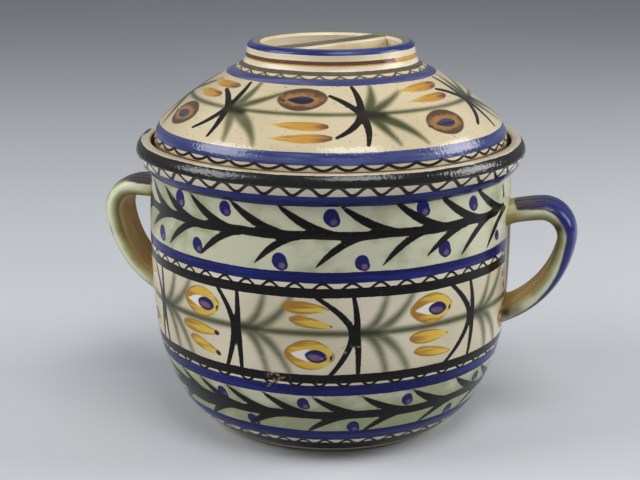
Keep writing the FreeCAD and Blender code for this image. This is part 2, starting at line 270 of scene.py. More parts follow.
def leaned(angle, height, tilt, reach):
    # the spots near a dab, and where they lie along and across it
    spots = near(angle, reach)
    x = wrapped(canvas["angle"][spots] - angle) * canvas["perDegree"][spots]
    y = canvas["height"][spots] - height
    lean = math.radians(tilt)
    return spots, x * math.cos(lean) + y * math.sin(lean), y * math.cos(lean) - x * math.sin(lean)


def layDab(layer, spots, away, share, shaded):
    # a shaded dab also keeps how far along it each spot lies
    gap = canvas[layer]
    if shaded:
        inside = away < np.minimum(gap[spots], shadedWithin)
        canvas["shade"][spots[inside]] = np.clip(share[inside], -1, 1) * 0.5 + 0.5
    gap[spots] = np.minimum(gap[spots], away)


def blob(layer, angle, height, halfWide, halfHigh, tilt=0.0, point=0.0, shaded=False):
    # an oval dab; point draws its ends out
    spots, u, w = leaned(angle, height, tilt, dabReach)
    belly = halfHigh * np.clip(1 - point * (u / halfWide) ** 2, 0.2, 1)
    away = (np.hypot(u / halfWide, w / belly) - 1) * min(halfWide, halfHigh)
    layDab(layer, spots, away, u / halfWide, shaded)


def teardrop(layer, angle, height, long, high, tilt, belly, shaded=False):
    # one press of a loaded brush; belly gives its half height from the left end to the right one
    spots, u, w = leaned(angle, height, tilt, dropReach)
    half = high * np.interp(u / long, np.linspace(-1, 1, len(belly)), belly)
    away = np.where(np.abs(u) > long, np.hypot(np.abs(u) - long, w), np.abs(w) - half)
    layDab(layer, spots, away, u / long, shaded)


# Material helpers

def tint(red, green, blue):
    linear = []
    for part in (red, green, blue):
        c = part / 255
        linear.append(c / 12.92 if c <= 0.04045 else ((c + 0.055) / 1.055) ** 2.4)
    return (*linear, 1.0)


coat = None  # the material that the helpers below add nodes to


def newCoat(name):
    global coat
    coat = bpy.data.materials.new(name)
    coat.use_nodes = True
    return coat


def put(kind, inputs=(), **settings):
    node = coat.node_tree.nodes.new("ShaderNode" + kind)
    for key, value in settings.items():
        setattr(node, key, value)
    for key, value in dict(inputs).items():
        plug(node.inputs[key], value)
    return node


def plug(socket, value):
    if isinstance(value, bpy.types.NodeSocket):
        coat.node_tree.links.new(value, socket)
    else:
        socket.default_value = value


def calc(operation, *values):
    return put("Math", enumerate(values), operation=operation).outputs[0]


def plus(value, other):
    return calc("ADD", value, other)


def minus(value, other):
    return calc("SUBTRACT", value, other)


def times(value, other):
    return calc("MULTIPLY", value, other)


def timesPlus(value, factor, other):
    return calc("MULTIPLY_ADD", value, factor, other)


def absolute(value):
    return calc("ABSOLUTE", value)


def laid(under, over, cover):
    # one colour laid over another where cover is 1
    return put("Mix", {0: cover, 6: under, 7: over}, data_type="RGBA").outputs[2]


def grain(spot, scale, detail=2.0, rough=0.5):
    inputs = {"Vector": spot, "Scale": scale, "Detail": detail, "Roughness": rough}
    return put("TexNoise", inputs).outputs["Fac"]


def ramp(value, low, high, lowTo=0.0, highTo=1.0):
    inputs = {"Value": value, "From Min": low, "From Max": high, "To Min": lowTo, "To Max": highTo}
    return put("MapRange", inputs, interpolation_type="SMOOTHSTEP").outputs[0]


def attribute(name):
    return put("Attribute", attribute_name=name).outputs["Fac"]


def stretched(spot, scale):
    return put("Mapping", {"Vector": spot, "Scale": scale}).outputs[0]


def most(*covers):
    total = covers[0]
    for cover in covers[1:]:
        total = calc("MAXIMUM", total, cover)
    return total


def objectSpot():
    return put("TexCoord").outputs["Object"]


def surfaceSpots():
    # object coordinates, and the height in millimetres
    spot = objectSpot()
    return spot, times(put("SeparateXYZ", {0: spot}).outputs[2], 1 / mm)


def angleRound(spot):
    parts = put("SeparateXYZ", {0: spot}).outputs
    return calc("ARCTAN2", parts[1], parts[0])


def brushStreaks(spot, across=22.0, up=330.0, rough=0.5):
    # fine lines round the piece, as a brush leaves them on the wheel
    return grain(stretched(spot, (across, across, up)), 1.0, 2.0, rough)


def patchyShine(patches, low=0.13, high=0.24):
    # roughness, from glossy patches to duller ones
    return ramp(patches, 0.3, 0.75, low, high)


def shakyHeight(spot, height, slow, quick):
    # the hand wanders slowly and the brush edge is a little rough
    wander = timesPlus(grain(spot, 28.0, 1.0), slow, -slow / 2)
    fray = timesPlus(grain(spot, 420.0), quick, -quick / 2)
    return plus(plus(height, wander), fray), fray


def bandMasks(height, sizes):
    # bands: (height where it starts, kind) up the piece; gives dark, blue and wash covers
    (low, top), bands = sizes["bandSpan"], sizes["bands"]
    node = put("ValToRGB", {0: ramp(height, low, top)})
    node.inputs[0].links[0].from_node.interpolation_type = "LINEAR"
    stops = node.color_ramp
    stops.interpolation = "CONSTANT"
    kinds = {"dark": (1, 0, 0, 1), "blue": (0, 1, 0, 1), "wash": (0, 0, 1, 1), "plain": (0, 0, 0, 1)}
    stops.elements[1].position = (bands[-1][0] - low) / (top - low)
    stops.elements[1].color = kinds[bands[-1][1]]
    stops.elements[0].color = kinds["plain"]
    for start, kind in bands[:-1]:
        stops.elements.new((start - low) / (top - low)).color = kinds[kind]
    return put("SeparateColor", {0: node.outputs[0]}).outputs


def waveLine(spot, angle, height, line):
    # a brushed wave: rounded both ways, or with cusps where the brush turns back
    stray = times(grain(spot, 13.0, 0.0), line["stray"])
    if line.get("cusped"):
        phase = timesPlus(angle, line["count"] / 2, stray)
        swing = absolute(calc("SINE", phase))
    else:
        phase = timesPlus(angle, line["count"], stray)
        swing = calc("SINE", phase)
    middle = timesPlus(swing, line["swing"], line["middle"])
    away = absolute(minus(height, middle))
    steep = absolute(calc("COSINE", phase))
    thick = timesPlus(steep, line["half"] * line["steep"], line["half"])
    return ramp(minus(away, thick), -0.25, 0.25, 1.0, 0.0)


def covered(gap, fray, soft=0.25):
    # where a motif's paint lies, from the distance to its edge
    return ramp(plus(attribute(gap), fray), -soft, soft, 1.0, 0.0)


def glazed(color, roughness, relief, depth, gloss=0.3):
    shader = coat.node_tree.nodes["Principled BSDF"]
    plug(shader.inputs["Base Color"], color)
    plug(shader.inputs["Roughness"], roughness)
    shader.inputs["IOR"].default_value = 1.5
    plug(shader.inputs["Specular IOR Level"], gloss)
    bump = put("Bump", {"Height": relief, "Distance": depth * mm, "Strength": 1.0})
    plug(shader.inputs["Normal"], bump.outputs[0])


def glazeSkin(spot, height, peelDepth=0.32):
    # slow waves in the glaze, fine orange peel and faint throwing rings
    slow = times(grain(spot, 34.0, 1.0), 0.6)
    peel = timesPlus(grain(spot, 520.0, 1.0), peelDepth, slow)
    rings = calc("SINE", times(height, 1.5))
    return timesPlus(rings, 0.05, peel)


# Plain finishes that several pieces share

plainFinishes = {
    "inner": (tint(208, 194, 166), tint(184, 166, 132)), "innerSpeck": tint(120, 92, 66),
    "clay": (tint(150, 112, 82), tint(108, 76, 54)), "clayGrit": tint(186, 158, 124),
}


def makeInnerGlaze():
    material = newCoat("innerGlaze")
    spot, height = surfaceSpots()
    patches = grain(spot, 21.0, 3.0)
    color = laid(*plainFinishes["inner"], ramp(patches, 0.35, 0.7))
    specks = ramp(grain(spot, 620.0, 0.0), 0.76, 0.8, 0.0, 0.5)
    color = laid(color, plainFinishes["innerSpeck"], specks)
    glazed(color, patchyShine(patches, 0.16, 0.3), glazeSkin(spot, height), 0.4)
    return material


def makeBareClay():
    material = newCoat("bareClay")
    spot = objectSpot()
    patches = grain(spot, 60.0, 4.0, 0.6)
    grit = grain(spot, 900.0, 2.0)
    color = laid(*plainFinishes["clay"], ramp(patches, 0.3, 0.7))
    color = laid(color, plainFinishes["clayGrit"], ramp(grit, 0.62, 0.72, 0.0, 0.6))
    glazed(color, ramp(patches, 0.2, 0.8, 0.7, 0.9), grit, 0.25)
    return material


innerGlaze = makeInnerGlaze()
bareClay = makeBareClay()


# Pot body: one thrown form, painted in bands round the outside

potBody = {
    "segments": 512, "crease": 32,  # degrees; sharper edges stay edges
    "dents": (0.7, 70),  # how deep the clay is pressed in, and how wide
    "outline": [  # radius, height, swell, rows
        (0.0, 3.0),
        (61.7, 3.0, 0, 3), (63.2, 0.0, 0, 1), (74.2, 0.0, 0, 2),
        (103.0, 28.6, 3.30, 22), (115.8, 75.0, 2.38, 31), (116.5, 168.0, 1.5, 64),
        (124.95, 180.6, 1.0, 9), (121.4, 188.0, 1.0, 6), (116.6, 188.0, 0, 2), (115.8, 187.2, 0, 1),
        (115.8, 178.0, 0, 2), (104.8, 178.0, 0, 3), (104.8, 174.5, 0, 1), (108.5, 164.0, 0, 3),
        (107.8, 75.0, -1.5, 10), (95.9, 32.4, -2.18, 6), (66.2, 12.0, -4.63, 6), (0.0, 12.0, 0, 5),
    ],
    "bandSpan": (0.0, 190.0),
    "bands": [(4.6, "dark"), (12.8, "plain"), (16.0, "blue"), (23.9, "wash"), (50.8, "blue"),
              (58.1, "plain"), (60.1, "dark"), (65.8, "plain"), (113.7, "dark"), (120.1, "plain"),
              (123.0, "blue"), (129.8, "wash"), (168.2, "blue"), (175.4, "plain"), (180.6, "dark"),
              (187.2, "plain")],
    "waves": [
        {"count": 45, "middle": 179.1, "swing": 2.7, "half": 1.1, "steep": 0.35, "stray": 5.0},
        {"count": 48, "middle": 120.9, "swing": 2.1, "half": 0.8, "steep": 0.3, "stray": 5.0},
        {"count": 45, "middle": 60.4, "swing": 2.2, "half": 0.85, "steep": 0.3, "stray": 5.0},
        {"count": 43, "middle": 14.0, "swing": 1.9, "half": 0.9, "steep": 0.3, "stray": 5.0},
    ],
    "cream": (tint(216, 206, 182), tint(196, 186, 158)),
    "wash": (tint(196, 195, 168), tint(154, 158, 122)),
    "green": tint(64, 70, 40),
    "dusk": tint(46, 50, 30),
    "blue": (tint(12, 18, 78), tint(30, 42, 124)),
    "dot": tint(22, 26, 88),
    "violet": tint(118, 88, 112),
    "ink": (tint(9, 8, 9), tint(26, 22, 21)),
    "rimInk": tint(34, 31, 30),
    "ochre": (tint(212, 174, 68), tint(148, 100, 42)),
    "paleYellow": tint(214, 192, 98),
    "eyeWhite": tint(226, 220, 208),
    "tipBrown": tint(58, 36, 32),
    "bare": tint(176, 156, 134),
    "patch": (tint(198, 188, 164), tint(210, 203, 186)),
    "rust": tint(124, 92, 50),
    "skin": 3.0,  # the painted skin goes this deep; all further in is the inside
    "footClay": (74.3, 3.5),  # radius and height up to which the foot is bare
    "galleryClay": (104.7, 115.9, 174.0, 187.0),  # radii and heights between which the gallery is bare
}

upperVine = {
    "stem": 151.6, "half": 2.6, "stemSteps": 24,
    "runs": [(-106.0, 67.5), (84.0, 241.0)],  # one vine on each side, from handle to handle
    "tipsUp": [-103, -88, -73, -61, -46.5, -31, -16, 2.2, 17.5, 32.5, 48],
    "reachUp": [169, 169, 168, 168, 169, 170, 170.3, 170.2, 172.5, 172.5, 171.5],
    "tipsDown": [-101, -86, -71.5, -57, -41.5, -22.2, -4.3, 15, 28.7, 41.5, 54],
    "reachDown": [133, 133, 137, 132.5, 132, 133, 132.2, 133, 135.5, 131.8, 130.8],
    # each leaf: rise from the stem's middle to its root, degrees that it runs along, half width
    "leafUp": (0.4, 19.5, 2.6), "leafDown": (-1.4, 14.0, 2.2),
    "dot": 4.4,
    "dotsUp": [(-93, 163), (-78, 164), (-51, 163.4), (-32, 163.6), (0.2, 162.4), (27.3, 165), (46.7, 162.2)],
    "dotsDown": [(-84, 138), (-62.5, 137), (-42.6, 138), (-14.6, 135.8), (8.9, 135.5), (34.9, 138.7),
                 (60.8, 136.4, 3.0)],
    "tick": [(66.2, 165.5, 1.1), (66.9, 158.5, 1.5)],
    "backUp": (80, 15.6, 10), "backDown": (83, 15.9, 9), "backDots": (88, 24.5, 7),  # first, gap, count
    "backReachUp": 170, "backReachDown": 133, "backDotsUp": 163.5, "backDotsDown": 137,
}

lowerVine = {
    "stem": 36.8, "half": 3.0, "wobble": 0.4,
    "tipsUp": [-57.5, -47, -35, -22, -6, 9.5, 26.5, 44, 58.5], "backUp": (73.0, 14.4, 16),
    "tipsDown": [-47, -29.5, -8, 10.8, 32, 52], "backDown": (71.0, 18.6, 13),
    "reachUp": 51.4, "leafUp": (1.2, 16.5, 2.4), "reachDown": 22.8, "leafDown": (-1.4, 13.5, 2.2),
    "dotsUp": [-37.2, -8.6, 25.2, 56.5, 87, 119, 150, 182, 214, 246, 279],
    "dotsDown": [-27.5, 7.7, 46, 80, 113, 147, 181, 215, 250, 284],
    "dotUp": (45.2, 3.7), "dotDown": (27.6, 3.8),  # height and size
    # the brush was pressed down and dragged at the left of the front
    "smears": [[(-66, 44.5, 2.2), (-54, 40.5, 3.2), (-40, 38.0, 3.0)],
               [(-60, 33.5, 2.4), (-48, 33.0, 3.2), (-37, 34.5, 2.2)]],
}

eyeBand = {
    "stem": 92.2, "half": 2.1, "low": 65.0, "high": 114.5,
    # each crossing: degrees, then how far its left and right strokes spread at the top and the foot
    "crossings": [(-64, -6.4, -2.6, 0.3, 1.8), (-28.7, -6.2, -4.0, 0.6, 1.2),
                  (7.2, -11.2, -7.4, -0.5, 1.0), (47.2, -8.8, -10.2, -1.0, 0.0)],
    "backCrossings": [91.5, 126, 160.5, 195, 229.5, 263],
    "backSpreads": [(-10, -6), (-9, -3), (-1, 0.6), (0, 1.6)],
    # the strokes of a crossing: degrees to where it meets the stem, edge it comes from, bend and its rise
    "arms": [(-0.9, "high", -0.2, 9), (-0.9, "low", 0.2, -11), (0.5, "high", 0.4, 9), (0.5, "low", 0.7, -11)],
    "armWidths": [1.3, 1.7, 2.0, 2.0],
    # the green leaves beside it: degrees to the tip, edge it ends at, rise of the bend
    "leaves": [(9.2, "high", 7), (17.4, "high", 7), (9.6, "low", -8), (16.8, "low", -8)],
    "leafWidths": [3.4, 2.4, 1.4],
    "eyeUp": 103.0, "eyeDown": 78.6, "dropsUp": (108.0, 98.6), "dropsDown": (85.5, 75.0),
    "tips": (2.3, 1.1),  # half widths of the brown tips, large on every fourth pair of drops
    "perDegree": 2.04,  # millimetres on the wall for each degree round it
    # half heights from the left end to the right one, as shares of the widest
    "drop": [0.3, 0.72, 0.92, 1.0, 1.0, 0.96, 0.88, 0.74, 0.56, 0.36, 0.12],
    "almond": [0.02, 0.22, 0.44, 0.66, 0.84, 0.96, 1.0, 0.96, 0.84, 0.6, 0.1],
}

wear = {
    # strokes along which the glaze is flaked or scratched
    "chips": [
        [(-17.5, 66, 0.5), (-14.5, 63, 0.6), (-17.6, 59, 0.5), (-19.6, 55, 0.3), (-21.5, 51, 0.2)],
        [(-15.0, 65, 0.4), (-15.8, 61, 0.3), (-16.6, 57, 0.15)],
        [(-19.6, 64.6, 0.5), (-11.4, 65.4, 0.3)],
        [(-20.4, 63.4, 0.25), (-17.0, 61.6, 0.4), (-13.4, 62.6, 0.2)],
        [(-21.0, 58.2, 0.2), (-18.8, 56.4, 0.45), (-17.2, 54.6, 0.2)],
        [(-12.6, 66.8, 0.2), (-11.8, 63.4, 0.3), (-13.0, 60.8, 0.15)],
        [(-3.0, 76.2, 0.2), (0.2, 78.8, 0.6), (2.6, 81.6, 0.9), (4.2, 84.2, 0.6)],
        [(1.6, 76.4, 0.3), (4.6, 80.6, 0.4)],
        [(5.4, 84.6, 0.5), (9.4, 83.6, 0.45)],
        [(13.0, 85.5, 0.1), (18.5, 93.5, 0.12)],
    ],
    "handles": (78.0, 251.5),  # degrees at which the wall behind a handle is left unpainted
    "patch": (116.0, 16.0, 38.0),  # its height, half width and half height
    "rust": [(-2.0, 86, 4.0), (-1.0, 100, 9.0), (-1.0, 124, 11.0), (-1.0, 144, 8.5)],
}


def vineLeaf(tip, reach, stem, lean, thick):
    # a horn from its sharp tip down to the stem; lean is how many degrees it runs along
    points = []
    for share in (1.0, 0.9, 0.76, 0.6, 0.44, 0.3, 0.18, 0.09, 0.03, 0.0):
        along = tip + lean * (1 - share ** 0.55)
        width = thick * np.interp(share, [0, 0.1, 0.4, 0.75, 1], [0.7, 0.95, 1.0, 0.62, 0.16])
        points.append((along, stem + (reach - stem) * share, width))
    brush("inkGap", points)


def vineDot(angle, height, size):
    blob("blueGap", angle, height, size, size * 1.1, dice.uniform(-15, 15))
    blob("blueGap", angle + 0.6, height - size * 0.5, size * 0.88, size * 0.75)
    blob("violetGap", angle + 0.75, height - size * 0.6, size * 0.44, size * 0.4)


def paintUpperVine():
    vine, stem, steps = upperVine, upperVine["stem"], upperVine["stemSteps"]
    for start, end in vine["runs"]:
        line = [(start + (end - start) * n / steps, stem + 0.5 * math.sin(n * 1.9), vine["half"])
                for n in range(steps)]
        line.append((end, stem + 2.6, 0.3))
        for n in range(steps):
            brush("inkGap", line[n:n + 2])
    up = list(zip(vine["tipsUp"], vine["reachUp"]))
    down = list(zip(vine["tipsDown"], vine["reachDown"]))
    for tip in backRow(vine["backUp"]):
        up.append((tip + dice.uniform(-1, 1), vine["backReachUp"] + dice.uniform(-1.5, 2.5)))
    for tip in backRow(vine["backDown"]):
        down.append((tip + dice.uniform(-1.2, 1.2), vine["backReachDown"] + dice.uniform(-1.5, 2)))
    for leaves, (rise, lean, thick) in ((up, vine["leafUp"]), (down, vine["leafDown"])):
        for tip, reach in leaves:
            vineLeaf(tip, reach, stem + rise, lean + dice.uniform(-1, 1), thick)
    dots = vine["dotsUp"] + vine["dotsDown"]
    for angle in backRow(vine["backDots"]):
        dots.append((angle + dice.uniform(-4, 4), vine["backDotsUp"] + dice.uniform(-1, 2)))
    for angle in backRow(vine["backDots"], -0.4):
        dots.append((angle + dice.uniform(-4, 4), vine["backDotsDown"] + dice.uniform(-1.5, 1.5)))
    for angle, height, *size in dots:
        vineDot(angle, height, *size or [vine["dot"] + dice.uniform(-0.4, 0.3)])
    brush("inkGap", vine["tick"])


def paintLowerVine():
    vine, stem = lowerVine, lowerVine["stem"]
    for stroke in ringLine(stem, vine["half"], vine["wobble"]):
        brush("inkGap", stroke)
    rise, lean, thick = vine["leafUp"]
    for tip in vine["tipsUp"] + [tip + dice.uniform(-1, 1) for tip in backRow(vine["backUp"])]:
        vineLeaf(tip, vine["reachUp"] + dice.uniform(-0.6, 0.6), stem + rise, lean, thick)
    rise, lean, thick = vine["leafDown"]
    for tip in vine["tipsDown"] + [tip + dice.uniform(-1.5, 1.5) for tip in backRow(vine["backDown"])]:
        vineLeaf(tip, vine["reachDown"] + dice.uniform(-1, 0.6), stem + rise, lean, thick)
    for smear in vine["smears"]:
        brush("inkGap", smear)
    height, size = vine["dotUp"]
    for angle in vine["dotsUp"]:
        vineDot(angle, height + dice.uniform(-0.6, 0.8), size)
    height, size = vine["dotDown"]
    for angle in vine["dotsDown"]:
        vineDot(angle, height + dice.uniform(-0.5, 0.8), size)


def paintEye(angle, height):
    # from the outside in, each dab with its half width and half height
    tilt = dice.uniform(-5, 1)
    blob("ochreGap", angle, height, 15.2, 9.6, tilt, 0.25, shaded=True)
    teardrop("whiteGap", angle - 1.2, height - 0.2, 9.8, 3.7, tilt, eyeBand["almond"])
    blob("blueGap", angle + 2.0, height - 0.8, 6.8, 4.2, tilt - 4, 0.2)
    blob("violetGap", angle + 1.7, height - 1.6, 4.6, 1.9, tilt - 8)
    blob("tipGap", angle + 6.4, height - 1.4, 0.9, 1.9, -20)


def paintDrop(angle, height, long, high, tilt, tip):
    teardrop("ochreGap", angle, height, long, high, tilt, eyeBand["drop"], shaded=True)
    lean, end = math.radians(tilt), long - tip
    tipAngle = angle + end * math.cos(lean) / eyeBand["perDegree"]
    blob("tipGap", tipAngle, height + end * math.sin(lean), tip, tip * 0.7, tilt - 20)


def paintCrossing(angle, *spreads):
    stem = eyeBand["stem"]
    for spread, (shift, edge, bend, rise) in zip(spreads, eyeBand["arms"]):
        middle = angle + shift
        brush("inkGap", bowed((angle + spread, eyeBand[edge]), (middle + bend, stem + rise), (middle, stem),
                              eyeBand["armWidths"]))
    for turn, edge, rise in eyeBand["leaves"]:
        base = (angle + turn * 0.36, stem + rise * 0.08)
        bend = (angle + turn * 0.72 + 1.0, stem + rise)
        leaf = bowed(base, bend, (angle + turn, eyeBand[edge]), eyeBand["leafWidths"])
        softStroke("greenTone", leaf, 2.6, 0.92)
    softStroke("greenTone", [(angle + 1.5, stem, 3.4), (angle + 10.0, stem, 2.0)], 3.2, 1.0)
    softStroke("duskTone", [(angle + 1.0, stem + 0.4, 3.0), (angle + 6.4, stem - 0.2, 1.8)], 3.2, 0.95)


def paintEyeBand():
    crossings = list(eyeBand["crossings"])
    for angle in eyeBand["backCrossings"]:
        crossings.append((angle, *[dice.uniform(*limits) for limits in eyeBand["backSpreads"]]))
    for stroke in ringLine(eyeBand["stem"], eyeBand["half"]):
        softStroke("greenTone", stroke, 1.6, 1.0)
    for crossing in crossings:
        paintCrossing(*crossing)
    for number, crossing in enumerate(crossings):
        following = crossings[(number + 1) % len(crossings)][0]
        middle = crossing[0] + (following - crossing[0]) % 360 / 2 + 4.2
        eyeAbove = number % 2 == 0
        paintEye(middle + dice.uniform(-0.4, 0.4), eyeBand["eyeUp" if eyeAbove else "eyeDown"])
        first, second = eyeBand["dropsDown" if eyeAbove else "dropsUp"]
        tip = eyeBand["tips"][number % 4 != 0]
        long, high = 14.5 + dice.uniform(-1.5, 2), 3.8 + dice.uniform(-0.4, 0.8)
        paintDrop(middle - 0.6, first, long, high, dice.uniform(-3, 0), tip)
        long, high = 13.2 + dice.uniform(-1, 1), 3.4 + dice.uniform(-0.2, 0.4)
        paintDrop(middle + 1.0, second, long, high, dice.uniform(-16, -9), tip)


def paintWear():
    for chip in wear["chips"]:
        brush("wearGap", chip)
    for middle in wear["handles"]:
        blob("patchGap", middle, *wear["patch"])
        rust = [(middle + shift, height, half) for shift, height, half in wear["rust"]]
        softStroke("rustTone", rust, 2.6, 0.95)


def makePaintedWall():
    material = newCoat("paintedWall")
    spot, height = surfaceSpots()
    angle = angleRound(spot)
    shaky, fray = shakyHeight(spot, height, 1.3, 0.5)
    dark, blue, wash = bandMasks(shaky, potBody)
    patches = grain(spot, 17.0, 2.0)
    streaks = brushStreaks(spot)
    smudges = timesPlus(grain(spot, 44.0, 3.0, 0.6), 0.6, times(patches, 0.4))
    color = laid(*potBody["cream"], ramp(patches, 0.35, 0.7))
    # the wash pools greener beside the vines; round the lower one it is also darker towards the bottom, as
    # painted shade under the belly
    washPoolAndShade = ramp(attribute("inkGap"), 0.0, 5.0, 0.05, 0.0)
    washPoolAndShade = plus(washPoolAndShade, ramp(height, 54.0, 30.0, 0.0, 0.16))
    green = laid(*potBody["wash"], ramp(plus(smudges, washPoolAndShade), 0.47, 0.66))
    color = laid(color, green, wash)
    brushed = ramp(streaks, 0.2, 0.7, 0.85, 1.0)
    color = laid(color, potBody["green"], times(attribute("greenTone"), brushed))
    color = laid(color, potBody["dusk"], times(attribute("duskTone"), brushed))
    shade = attribute("shade")
    warmth = timesPlus(shade, -0.4, plus(streaks, 0.2))
    ochre = laid(potBody["ochre"][0], potBody["paleYellow"], ramp(shade, 0.5, 1.0, 0.0, 0.6))
    rim = ramp(attribute("ochreGap"), -1.6, -0.1, 0.0, 0.3)
    ochre = laid(ochre, potBody["ochre"][1], ramp(plus(warmth, rim), 0.46, 0.74, 0.0, 0.85))
    color = laid(color, ochre, covered("ochreGap", fray, 0.5))
    color = laid(color, potBody["eyeWhite"], covered("whiteGap", fray, 0.4))
    blues = laid(*potBody["blue"], ramp(streaks, 0.42, 0.75))
    color = laid(color, blues, blue)
    color = laid(color, potBody["dot"], covered("blueGap", fray))
    dab = times(covered("violetGap", fray, 0.7), ramp(smudges, 0.35, 0.55, 0.5, 0.95))
    color = laid(color, potBody["violet"], dab)
    color = laid(color, potBody["tipBrown"], covered("tipGap", fray, 0.3))
    lines = [waveLine(spot, angle, shaky, line) for line in potBody["waves"]]
    inkCover = most(dark, covered("inkGap", fray), *lines)
    inks = laid(*potBody["ink"], ramp(streaks, 0.45, 0.8))
    inks = laid(inks, potBody["rimInk"], ramp(height, 179.0, 181.5, 0.0, 0.8))
    color = laid(color, inks, inkCover)
    clay = laid(*potBody["patch"], ramp(patches, 0.4, 0.65))
    color = laid(color, clay, covered("patchGap", fray, 1.2))
    color = laid(color, potBody["rust"], times(attribute("rustTone"), brushed))
    pits = ramp(grain(spot, 900.0, 0.0), 0.85, 0.87, 0.0, 0.4)
    flakes = ramp(grain(spot, 640.0, 3.0, 0.7), 0.44, 0.54)
    worn = times(covered("wearGap", times(fray, 4.0), 0.5), flakes)
    worn = most(worn, pits)
    color = laid(color, potBody["bare"], times(worn, 0.8))
    roughness = timesPlus(worn, 0.35, patchyShine(patches))
    onRim = ramp(height, 176.0, 182.0)
    skin = glazeSkin(spot, height, timesPlus(onRim, 0.4, 0.3))
    relief = timesPlus(inkCover, 0.06, skin)
    gloss = timesPlus(onRim, 0.33, 0.17)
    rustFree = minus(1.0, attribute("rustTone"))
    glazed(color, roughness, relief, 0.35, times(gloss, rustFree))
    return material


def makePotBody():
    piece = throwPiece("potBody", potBody, lambda co: math.hypot(co.x, co.y) > 0.1 and 0.008 < co.z < 0.17)
    wall = np.array(drawOutline(potBody["outline"][3:9]))

    def insideWall(radius, height):
        return radius < np.interp(height, wall[:, 1], wall[:, 0]) - potBody["skin"]

    def unglazed(radius, height):
        footRadius, footTop = potBody["footClay"]
        inner, outer, low, high = potBody["galleryClay"]
        onGallery = (radius > inner) & (radius < outer) & (height > low) & (height < high)
        return ((radius < footRadius) & (height < footTop)) | onGallery

    unroll(piece, lambda z: z, lambda r, z: ~insideWall(r, z))
    paintUpperVine()
    paintLowerVine()
    paintEyeBand()
    paintWear()
    storeLayers(piece)
    assignFinish(piece, [
        (makePaintedWall(), lambda r, z: r > 0),
        (innerGlaze, insideWall),
        (bareClay, unglazed),
    ])
    standsFor(piece, "pot_body", "pot")


makePotBody()


# Handles: pulled straps, bent over a loop and luted to the wall

handle = {
    "start": (112.0, 147.75), "rise": -1.29,  # the slope of the strap where it leaves the wall, degrees
    "loopMiddle": (136.4, 130.6), "loopRadius": 16.6, "loopEnd": -6.46,
    "tailMiddle": (91.29, 135.71), "tailRadius": 62.0, "tailEnd": -70.48,
    "steps": (8, 24, 30), "crease": 60,  # points on the straight run, the loop and the tail
    "section": [  # across the strap and out from its middle line: flutes, round edge, strips, round edge
        (-11.0, -5.55),
        (-3.67, -5.1, -0.6, 4), (3.67, -5.1, -0.6, 4), (11.0, -5.55, -0.6, 4), (11.0, 5.55, 4.95, 10),
        (3.67, 6.45, 0.45, 4), (-3.67, 6.45, 0.45, 4), (-11.0, 5.55, 0.45, 4), (-11.0, -5.55, 4.95, 10),
    ],
    "spread": ((0.0, 1.03), (0.32, 1.0), (1.0, 1.02)),  # share along, then how much larger it is there
    "archReach": 0.3,  # share of the strap that springs from the wall in an arch
    # clay worked in at the wall: shares along where it starts, how far it reaches, how thick and wide it is
    "joints": (0.025, 0.97), "jointReach": 0.065, "jointSwell": 1.8, "jointSpread": 0.08,
    "groove": 3.67, "ridge": 1.4,  # across to the groove between two strips, and out to the edge's ridge
    "joint": (tint(92, 78, 80), tint(48, 38, 42)),
    "blue": (tint(36, 42, 112), tint(14, 18, 70)),
    "green": (tint(196, 196, 152), tint(158, 160, 112)),
    # a painted highlight along the edge's ridge
    "ridgeHighlight": tint(226, 226, 198),
    # painted shade, partly glaze pooling, towards the inner face; darker on the upper run than on the lower
    "innerPoolAndShade": (tint(104, 104, 60), tint(172, 144, 80)),
    "ochre": (tint(226, 192, 134), tint(198, 162, 106)),
    "stain": tint(150, 124, 58),
    "smudge": tint(46, 42, 26),
    "outline": tint(38, 32, 44),
}

handleSides = [  # the left strap sits a little lower, and both are set round to the back
    {"name": "rightHandle", "node": "right_handle", "drop": 0.0, "turn": 3.25, "arch": 6.0,
     # share along and how far out the paint of the outside starts there; the root is left bare
     "paintFrom": [(0.04, 9.0), (0.09, 3.4), (0.24, 2.8), (0.32, 1.0), (0.5, 0.8), (0.62, 2.4), (0.78, 3.8),
                   (1.0, 4.8)],
     "blueFrom": 0.2,  # the paint is brown up to here and blue beyond
     # smudges: share along, across, outward, then how far each reaches and how strong it is
     "smudges": [(0.345, -13.8, -2.0, 0.04, 6.0, 3.4, 1.0), (0.90, -15.0, 1.0, 0.05, 6.0, 3.2, 0.6),
                 (0.945, -15.0, -0.6, 0.04, 8.5, 4.2, 1.0), (0.30, 13.5, 0.0, 0.06, 5.0, 4.0, 0.6)]},
    {"name": "leftHandle", "node": "left_handle", "drop": 1.6, "turn": 176.75, "arch": 1.5,
     "paintFrom": [(0.0, 3.6), (0.16, 3.6), (0.26, 5.4), (1.0, 5.6)],
     "blueFrom": 0.34,
     "smudges": [(0.53, 13.8, 3.4, 0.035, 3.0, 2.0, 0.6), (0.97, 9.0, 1.0, 0.03, 8.0, 5.0, 0.8),
                 (0.36, -14.0, 0.0, 0.05, 5.0, 4.0, 0.7)]},
]


def handleLine():
    # the strap's middle line as (x, z, heading in degrees), from the upper joint to the lower one
    x, z = handle["start"]
    rise = math.radians(handle["rise"])
    cx, cz = handle["loopMiddle"]
    topX, topZ = cx - handle["loopRadius"] * math.sin(rise), cz + handle["loopRadius"] * math.cos(rise)
    runSteps, loopSteps, tailSteps = handle["steps"]
    line = [(x + (topX - x) * n / runSteps, z + (topZ - z) * n / runSteps, handle["rise"])
            for n in range(runSteps)]
    first = 90 + handle["rise"]
    for arc, steps in (("loop", loopSteps), ("tail", tailSteps)):
        (cx, cz), radius, last = [handle[arc + key] for key in ("Middle", "Radius", "End")]
        for n in range(steps + (arc == "tail")):
            turn = first + (last - first) * n / steps
            line.append((cx + radius * math.cos(math.radians(turn)),
                         cz + radius * math.sin(math.radians(turn)), turn - 90))
        first = last
    return line


